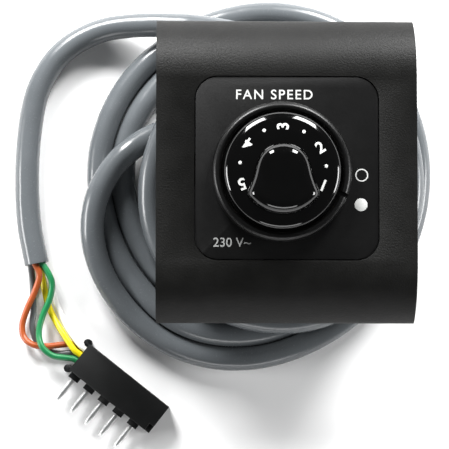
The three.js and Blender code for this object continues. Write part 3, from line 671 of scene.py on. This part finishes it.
# ---------------------------------------------------------------- printed marks
def lettering(name, text, size, thick=0.0, spacing=1.0):
    """A line of plain lettering, lying flat with its middle at the origin."""
    bpy.ops.object.select_all(action="DESELECT")
    bpy.ops.object.text_add(location=(0, 0, 0))
    piece = bpy.context.object
    piece.name = name
    piece.data.body = text
    piece.data.size = size * MM
    piece.data.offset = thick * MM
    piece.data.space_character = spacing
    piece.data.align_x = "CENTER"
    piece.data.align_y = "CENTER"
    piece.data.extrude = 0.03 * MM
    piece.data.resolution_u = 6
    bpy.ops.object.convert(target="MESH")
    corners = [Vector(c) for c in piece.bound_box]
    middle = (corners[0] + corners[6]) / 2
    return place_by(piece, Matrix.Translation(-middle))


INK = 0.03  # height of print above its surface
DIGIT_RADIUS = 10.95
DIGIT_ANGLES = (-21.5, 31.2, 90.3, 144, 199.9)
DOT_ANGLES = (4.6, 61.1, 115.8, 171.1)


def on_skirt(angle, radius):
    """Where a mark sits on the skirt: its top along the dial, tilted with the slope."""
    slope = math.atan2(skirt_height(radius - 0.5) - skirt_height(radius + 0.5), 1)
    place = Matrix.Translation(mm(*DIAL, 0)) @ Matrix.Rotation(math.radians(angle), 4, "Z")
    place = place @ Matrix.Translation(mm(radius, 0, skirt_height(radius) + INK))
    return place @ Matrix.Rotation(slope, 4, "Y")


marks = []
for number, angle in enumerate(DIGIT_ANGLES, 1):
    digit = lettering(f"digit_{number}", str(number), 4.1, 0.09)
    marks.append(place_by(digit, on_skirt(angle, DIGIT_RADIUS)))
for number, angle in enumerate(DOT_ANGLES, 1):
    dot = turned(f"dial_dot_{number}", [(0.45, -0.05), (0.45, 0.03), (0.4, 0.05)], 24)
    marks.append(place_by(dot, on_skirt(angle, DIGIT_RADIUS)))
for mark in marks:
    finish(mark, "knob")

title = lettering("title_lettering", "FAN SPEED", 3.5, 0.03, 1.2)
place_by(title, Matrix.Translation(mm(-3.2, 18.9, FASCIA["top"] + INK)))
rating = lettering("rating_lettering", "230 V~", 3.3, 0.02, 1.0)
place_by(rating, Matrix.Translation(mm(-14, -19.1, FASCIA["top"] + INK)))
off_mark = turned("off_mark", [(1.36, 35.79), (1.65, 35.79), (1.65, 35.84), (1.36, 35.84), (1.36, 35.79)], 64, (19.2, -1.8))
on_mark = turned("on_mark", [(1.65, 35.79), (1.65, 35.82), (1.6, 35.84)], 64, (19, -9.4))
for mark in (title, rating, off_mark, on_mark):
    finish(mark, "panel")
    marks.append(mark)


# ---------------------------------------------------------------- cable boot and the cut sheath
def cable_boot():
    """A bend-relief boot: a collar that grips the box's wall, then a tapering sleeve with ribs."""
    bore = CABLE / 2 + 0.15
    profile = [(bore, -3.2), (5.3, -3.2), (5.3, -1.9), (4.7, -1.9), (4.7, 0.3), (5.3, 0.3), (5.3, 2), (5, 3)]
    ribs, first, pitch = 7, 3.4, 1.75
    for i in range(ribs):
        start = first + i * pitch
        outer = 5 - 0.6 * i / ribs
        profile += [(outer - 0.75, start), (outer - 0.75, start + 0.55), (outer, start + 0.65), (outer, start + 1.65)]
    profile += [(4.3, 16.1), (4.1, 16.3), (bore, 16.3), (bore, -3.2)]
    piece = turned("cable_boot_ribbed", profile, 64)
    place_by(piece, Matrix.Translation(mm(*EXIT)) @ Matrix.Rotation(math.radians(-90), 4, "Y"))
    return finish(piece, "panel", ["cable_boot"])


boot = cable_boot()


def cut_sheath():
    """The thin wall of the cut sheath, standing a little proud round the cores."""
    piece = turned("sheath_cut_end", [(2.62, 0), (3.25, 0), (3.27, 0.5), (3.2, 1.1), (2.7, 1.15), (2.62, 0)], 48)
    heading = Vector((*TAIL_HEADING, 0)).normalized()
    turn = Vector((0, 0, 1)).rotation_difference(heading).to_matrix().to_4x4()
    place_by(piece, Matrix.Translation(mm(-66, -22.2, 3.3)) @ turn @ Matrix.Translation(mm(0, 0, -0.2)))
    return finish(piece, "panel")


sheath_end = cut_sheath()

# ---------------------------------------------------------------- plug
plug_body = detailed_copy("plug_housing", 0.18)
plug_lid = detailed_copy("plug_cover", 0.3, steps=3)


def contact_pins():
    """A turned pin with a tapered, rounded tip, and its four copies."""
    tip = [(0.75, 7.0), (0.72, 7.9), (0.62, 8.8), (0.5, 9.5), (0.36, 10.1), (0.2, 10.4), (0.08, 10.5)]
    first = turned("contact_pin_turned_1", [(0.6, 0), (0.75, 0.15), *tip], 32)
    pins = [first] + [copy_of(first, f"contact_pin_turned_{i}") for i in range(2, 6)]
    frame_of_plug = Matrix.Translation(mm(PLUG["x"], PLUG["y"], 0)) @ Matrix.Rotation(math.radians(PLUG["turn"]), 4, "Z")
    for i, pin in enumerate(pins):
        root = Matrix.Translation(mm(PIN_FIRST + PIN_PITCH * i, -2.7, PIN_HEIGHT))
        place_by(pin, frame_of_plug @ root @ Matrix.Rotation(math.radians(90), 4, "X"))
        finish(pin, "panel", [f"contact_pin_{i + 1}"])
    return pins


pins = contact_pins()


# ---------------------------------------------------------------- materials
def shade(code):
    """An sRGB hex colour as linear red, green, blue and alpha."""
    parts = [int(code[i:i + 2], 16) / 255 for i in (1, 3, 5)]
    return (*[c / 12.92 if c <= 0.04045 else ((c + 0.055) / 1.055) ** 2.4 for c in parts], 1)


def add_node(tree, kind, settings=None, inputs=None):
    """Adds one node with its settings, and gives its inputs values or links."""
    made = tree.nodes.new(kind)
    for key, value in (settings or {}).items():
        setattr(made, key, value)
    for key, value in (inputs or {}).items():
        if isinstance(value, bpy.types.NodeSocket):
            tree.links.new(value, made.inputs[key])
        else:
            made.inputs[key].default_value = value
    return made


def start_material(name):
    """An empty material, and its Object coordinates in metres."""
    material = bpy.data.materials.new(name)
    material.use_nodes = True
    tree = material.node_tree
    tree.nodes.clear()
    return material, tree, add_node(tree, "ShaderNodeTexCoord").outputs["Object"]


def close_material(tree, inputs):
    shader = add_node(tree, "ShaderNodeBsdfPrincipled", inputs=inputs)
    add_node(tree, "ShaderNodeOutputMaterial", inputs={"Surface": shader.outputs["BSDF"]})


def noise(tree, place, size, detail=3.0, rough=0.5):
    """Noise whose features are about a size in millimetres."""
    inputs = {"Vector": place, "Scale": 1 / (size * MM), "Detail": detail, "Roughness": rough}
    return add_node(tree, "ShaderNodeTexNoise", {"noise_dimensions": "3D"}, inputs).outputs["Fac"]


def spread(tree, value, low, high):
    """Noise brought from its middle range to a range of values."""
    inputs = {"Value": value, "From Min": 0.3, "From Max": 0.7, "To Min": low, "To Max": high}
    return add_node(tree, "ShaderNodeMapRange", {"clamp": True}, inputs).outputs["Result"]


def two_tone(tree, value, first, second):
    inputs = {"Factor": value, "A": shade(first), "B": shade(second)}
    mix = tree.nodes.new("ShaderNodeMix")
    mix.data_type = "RGBA"
    tree.links.new(inputs["Factor"], mix.inputs[0])
    mix.inputs[6].default_value = inputs["A"]
    mix.inputs[7].default_value = inputs["B"]
    return mix.outputs[2]


def relief(tree, height, depth, before=None):
    """Bump of a depth in millimetres."""
    inputs = {"Height": height, "Distance": depth * MM, "Strength": 1.0}
    if before is not None:
        inputs["Normal"] = before
    return add_node(tree, "ShaderNodeBump", inputs=inputs).outputs["Normal"]


def moulded(name, dark, light, rough, grain, depth, gloss=0.5, patch=6.0):
    """Plastic from a textured mould: an even fine grain, and a slow change of tone where it flowed."""
    material, tree, place = start_material(name)
    fine = noise(tree, place, grain, 4, 0.6)
    slow = noise(tree, place, patch, 2)
    close_material(tree, {
        "Base Color": two_tone(tree, spread(tree, slow, 0, 1), dark, light),
        "Roughness": spread(tree, fine, rough - 0.06, rough + 0.06),
        "IOR": 1.53,
        "Specular IOR Level": gloss,
        "Normal": relief(tree, fine, depth),
    })
    return material


def polished(name, dark, light, rough, ripple, ior=1.49):
    """Plastic from a polished mould: deep clear gloss with the faint ripple of sink."""
    material, tree, place = start_material(name)
    slow = noise(tree, place, 5, 1)
    fine = noise(tree, place, 0.25, 2)
    close_material(tree, {
        "Base Color": two_tone(tree, spread(tree, slow, 0, 1), dark, light),
        "Roughness": spread(tree, fine, rough * 0.8, rough * 1.3),
        "IOR": ior,
        "Normal": relief(tree, slow, ripple),
    })
    return material


def extruded(name, dark, light, rough, lump, depth):
    """Soft PVC drawn over twisted cores: satin, a little lumpy along its length, with fine die lines."""
    material, tree, place = start_material(name)
    lumps = noise(tree, place, lump, 1)
    fine = noise(tree, place, 0.35, 3)
    stained = noise(tree, place, 30, 1)
    close_material(tree, {
        "Base Color": two_tone(tree, spread(tree, stained, 0, 1), dark, light),
        "Roughness": spread(tree, fine, rough - 0.03, rough + 0.04),
        "IOR": 1.53,
        "Normal": relief(tree, fine, 0.0006, relief(tree, lumps, depth)),
    })
    return material


def plated(name, dark, light, rough, streak):
    """Plated or rolled metal: bright, with fine streaks from drawing and a slight cloudiness."""
    material, tree, place = start_material(name)
    stretch = add_node(tree, "ShaderNodeMapping", inputs={"Vector": place, "Scale": (1, 1, 0.15)}).outputs["Vector"]
    lines = noise(tree, stretch, streak, 4, 0.6)
    cloud = noise(tree, place, 3, 2)
    close_material(tree, {
        "Base Color": two_tone(tree, spread(tree, cloud, 0, 1), dark, light),
        "Metallic": 1.0,
        "Roughness": spread(tree, lines, rough * 0.7, rough * 1.4),
        "Normal": relief(tree, lines, 0.004),
    })
    return material


def laminated(name, dark, light, rough, weave):
    """Board laminate: two crossed sets of glass yarns or paper fibres that show through the face."""
    material, tree, place = start_material(name)
    waves = []
    for axis in ("X", "Y"):
        inputs = {"Vector": place, "Scale": 1 / (weave * MM) / 20, "Distortion": 0.4}
        settings = {"wave_type": "BANDS", "bands_direction": axis}
        waves.append(add_node(tree, "ShaderNodeTexWave", settings, inputs).outputs["Fac"])
    both = add_node(tree, "ShaderNodeMath", {"operation": "MULTIPLY"}, {0: waves[0], 1: waves[1]}).outputs[0]
    slow = noise(tree, place, 4, 3)
    close_material(tree, {
        "Base Color": two_tone(tree, spread(tree, slow, 0, 1), dark, light),
        "Roughness": spread(tree, slow, rough - 0.08, rough + 0.08),
        "IOR": 1.5,
        "Normal": relief(tree, both, 0.01),
    })
    return material


FINISHES = {
    # Spark-eroded ABS: soft charcoal sheen over a sandy grain; real grain is 0.1 mm, drawn at 0.45 to show.
    "frame_abs": moulded("abs_spark_eroded_black", "#090908", "#10100F", 0.46, 0.45, 0.09, gloss=0.15),
    # The same ABS with a finer etch: flatter and darker than the frame.
    "fascia_abs": moulded("abs_fine_etched_black", "#0A0A0A", "#0E0E0E", 0.42, 0.3, 0.02, gloss=0.2),
    # Plain moulded ABS for the hidden housing: slightly glossier, with flow marks.
    "housing_abs": moulded("abs_moulded_plain_black", "#161617", "#1E1E1F", 0.42, 0.6, 0.012, patch=12),
    # Zinc-plated steel: cool bright grey with fine turning marks.
    "zinc_steel": plated("steel_zinc_plated", "#A9ABAE", "#C3C5C7", 0.3, 0.25),
    # Glass-epoxy laminate under green solder mask: the weave shows as a faint check.
    "board_laminate": laminated("glass_epoxy_green_mask", "#1B5231", "#246A3E", 0.35, 0.5),
    # Natural nylon: milky off-white, waxy and slightly uneven.
    "nylon_natural": moulded("nylon_moulded_natural", "#DCD8CA", "#E9E6DB", 0.45, 0.5, 0.01, patch=5),
    # Flame-retardant box of the capacitor: warm yellow, smooth.
    "capacitor_case": moulded("polyester_moulded_yellow", "#C29A22", "#D0A92D", 0.36, 0.7, 0.01),
    # Transfer-moulded compound: matt black with tiny mineral specks.
    "epoxy_black": moulded("epoxy_moulded_black", "#18181A", "#242426", 0.55, 0.3, 0.02),
    # Dipped ceramic coat: grey-green, thick and softly bumpy.
    "ceramic_body": moulded("ceramic_dip_coated", "#8E9B94", "#A5B0AA", 0.5, 0.8, 0.05),
    # Tinned steel can: grey metal with drawing streaks.
    "pot_can_steel": plated("steel_tinned_drawn", "#A8A9AA", "#BFC0C1", 0.34, 0.4),
    # Phenolic paper laminate: brown with pressed fibres.
    "phenolic_wafer": laminated("phenolic_paper_pressed", "#5B3A20", "#71492A", 0.5, 0.8),
    # Printed carbon track: dull black and slightly grainy.
    "carbon_track": moulded("carbon_printed", "#17171A", "#202023", 0.65, 0.25, 0.01),
    # Rolled phosphor bronze: warm metal with rolling lines.
    "bronze_spring": plated("phosphor_bronze_rolled", "#BC9450", "#CFA964", 0.3, 0.3),
    # Tin plate over turned brass: bright, a little cloudy.
    "tinned_metal": plated("brass_tin_plated", "#DCDDDD", "#F0F1F0", 0.36, 0.3),
    # Selector ring in ABS from a vapour-blasted mould: satin, near-black.
    "ring_plastic": moulded("abs_satin_black", "#050505", "#080808", 0.33, 0.3, 0.006, gloss=0.3),
    # Knob in ABS from a mirror-polished mould: piano-black gloss.
    "knob_plastic": polished("abs_polished_black", "#020202", "#030303", 0.07, 0.002),
    # Moulded rubber boot: dead matt with a faint bloom.
    "boot_rubber": moulded("rubber_moulded_black", "#141414", "#1D1D1C", 0.72, 0.4, 0.02),
    # Extruded PVC sheath: mid grey and satin; the twisted cores show as slow lumps.
    "sheath_pvc": extruded("pvc_sheath_grey_extruded", "#55595C", "#5C6063", 0.24, 9, 0.35),
    # Core insulation: thin extruded PVC, brighter and glossier than the sheath.
    "core_white": extruded("pvc_core_white", "#E9E8E2", "#F3F2EC", 0.32, 4, 0.05),
    "core_grey": extruded("pvc_core_grey", "#4A4D4E", "#565859", 0.32, 4, 0.05),
    "core_yellow": extruded("pvc_core_yellow", "#D9C804", "#E3D20C", 0.32, 4, 0.05),
    "core_orange": extruded("pvc_core_orange", "#A04A20", "#A85228", 0.32, 4, 0.05),
    "core_green": extruded("pvc_core_green", "#146E3E", "#1B7A48", 0.32, 4, 0.05),
    # Glass-filled polyamide for the plug: matt black with a dry, slightly streaked skin.
    "plug_plastic": moulded("polyamide_glass_filled_black", "#0A0B0B", "#101111", 0.55, 0.35, 0.03, gloss=0.15),
}
# Screen-printing ink: opaque white, a touch duller and thinner at its edges.
INK_WHITE = moulded("ink_screen_printed_white", "#B9BAB8", "#C4C5C3", 0.5, 0.4, 0.004)
# The rating is printed in the same ink, thinned to a light grey.
INK_GREY = moulded("ink_screen_printed_grey", "#8A8B8A", "#969795", 0.5, 0.4, 0.004)


def give(piece, material):
    """Makes a material the only one of a piece."""
    if piece.material_slots:
        for held in piece.material_slots:
            held.material = material
    else:
        piece.data.materials.append(material)


slot_of = {row["node"]: row["material_slot"] for row in frame["record"]["subparts"]}
for name, node in frame["nodes"].items():
    give(node, FINISHES[slot_of[name]])
made = {
    "sheath_pvc": [cable, sheath_end],
    "frame_abs": [arch],
    "fascia_abs": [plate],
    "ring_plastic": [ring],
    "knob_plastic": [knob],
    "boot_rubber": [boot],
    "plug_plastic": [plug_body, plug_lid],
    "tinned_metal": pins,
}
for colour, piece in core_pieces.items():
    made[f"core_{colour}"] = [piece]
for slot, pieces in made.items():
    for piece in pieces:
        give(piece, FINISHES[slot])
for mark in marks:
    give(mark, INK_GREY if mark == rating else INK_WHITE)


# ---------------------------------------------------------------- floor and light
def floor():
    """A plain pale sheet of coated board under the object."""
    bpy.ops.object.select_all(action="DESELECT")
    bpy.ops.mesh.primitive_plane_add(size=3, location=(0, 0, 0))
    sheet = bpy.context.object
    sheet.name = "floor"
    give(sheet, moulded("board_coated_white", "#F4F4F4", "#FAFAFA", 0.85, 4, 0.0005, patch=60))


def lamp(name, place, target, width, height, power):
    """A soft rectangular light that faces a point."""
    data = bpy.data.lights.new(name, "AREA")
    data.shape = "RECTANGLE"
    data.size = width
    data.size_y = height
    data.energy = power
    light = bpy.data.objects.new(name, data)
    bpy.context.collection.objects.link(light)
    facing = (Vector(target) - Vector(place)).to_track_quat("-Z", "Y")
    light.matrix_world = Matrix.Translation(place) @ facing.to_matrix().to_4x4()


floor()
MIDDLE = (-0.015, -0.012, 0.02)
lamp("window_left", (-0.52, 1.1, 0.66), MIDDLE, 0.46, 0.62, 38)
lamp("window_right", (0.52, 1.1, 0.66), MIDDLE, 0.46, 0.62, 38)
lamp("fill_left", (-1.3, -0.1, 0.42), MIDDLE, 0.6, 0.3, 12)
lamp("fill_right", (1.3, -0.1, 0.42), MIDDLE, 0.6, 0.3, 12)
lamp("fill_below", (0, -1.4, 0.42), MIDDLE, 1.2, 0.3, 6)

world = bpy.data.worlds.new("studio")
world.use_nodes = True
world.node_tree.nodes["Background"].inputs["Color"].default_value = shade("#F2F4F6")
world.node_tree.nodes["Background"].inputs["Strength"].default_value = 0.1
bpy.context.scene.world = world
bpy.context.scene.view_settings.view_transform = "Standard"
